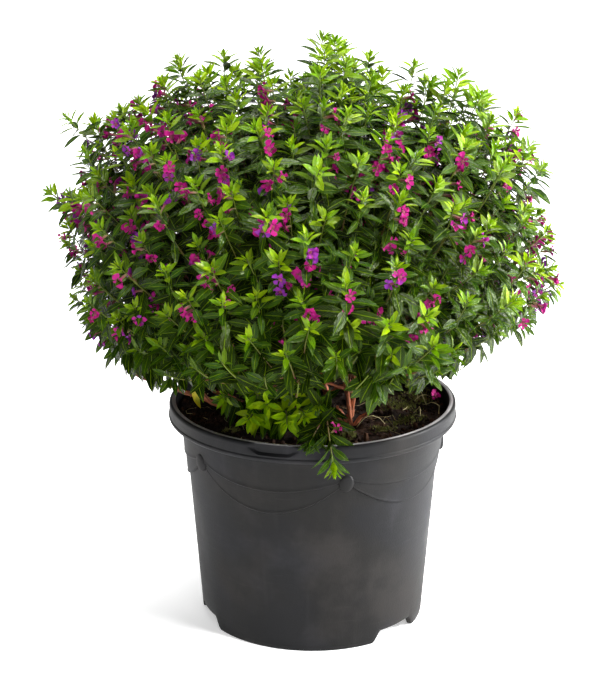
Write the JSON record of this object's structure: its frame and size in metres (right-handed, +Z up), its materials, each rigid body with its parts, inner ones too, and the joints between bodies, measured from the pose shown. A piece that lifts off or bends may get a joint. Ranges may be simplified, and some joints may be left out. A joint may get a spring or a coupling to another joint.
{
  "type": "potted small-leaved cuphea",
  "caption": "Rounded evergreen flowering house plant with small narrow leaves and magenta flowers, in a round dark grey nursery pot with swag relief.",
  "frame": {"origin": "on the ground under the middle of the bounding box, on the pot's own axis to within 2 mm", "axes": "+Z up out of the pot, -Y towards the picture's viewer, +X to the viewer's right"},
  "size_m": [0.3441, 0.3452, 0.3922],
  "materials": {
    "plastic": "matte",
    "soil": "matte",
    "bark": "matte",
    "leaf": "satin",
    "petal": "matte"
  },
  "bodies": {
    "root": {"flower_spray_01": "petal", "flower_spray_02": "petal", "flower_spray_03": "petal", "flower_spray_04": "petal", "flower_spray_05": "petal", "flower_spray_06": "petal", "flower_spray_07": "petal", "flower_spray_08": "petal", "flower_spray_09": "petal", "flower_spray_10": "petal", "leafy_branch_01": "leaf", "leafy_branch_02": "leaf", "leafy_branch_03": "leaf", "leafy_branch_04": "leaf", "leafy_branch_05": "leaf", "leafy_branch_06": "leaf", "leafy_branch_07": "leaf", "leafy_branch_08": "leaf", "leafy_branch_09": "leaf", "leafy_branch_10": "leaf", "leafy_branch_11": "leaf", "leafy_branch_12": "leaf", "leafy_branch_13": "leaf", "leafy_branch_14": "leaf", "leafy_branch_15": "leaf", "leafy_branch_16": "leaf", "leafy_branch_17": "leaf", "leafy_branch_18": "leaf", "leafy_branch_19": "leaf", "leafy_branch_20": "leaf", "leafy_branch_21": "leaf", "leafy_branch_22": "leaf", "leafy_branch_23": "leaf", "leafy_branch_24": "leaf", "leafy_branch_25": "leaf", "leafy_branch_26": "leaf", "leafy_branch_27": "leaf", "leafy_branch_28": "leaf", "leafy_branch_29": "leaf", "leafy_branch_30": "leaf", "leafy_branch_31": "leaf", "leafy_branch_32": "leaf", "leafy_branch_33": "leaf", "leafy_branch_34": "leaf", "leafy_branch_35": "leaf", "leafy_branch_36": "leaf", "leafy_branch_37": "leaf", "leafy_branch_38": "leaf", "leafy_branch_39": "leaf", "leafy_branch_40": "leaf", "leafy_branch_41": "leaf", "leafy_branch_42": "leaf", "low_sprig_front": "leaf", "low_sprig_hanging": "leaf", "pot": "plastic", "soil": "soil", "woody_crown_back": "bark", "woody_crown_left": "bark", "woody_crown_right": "bark"}
  },
  "joints": []
}
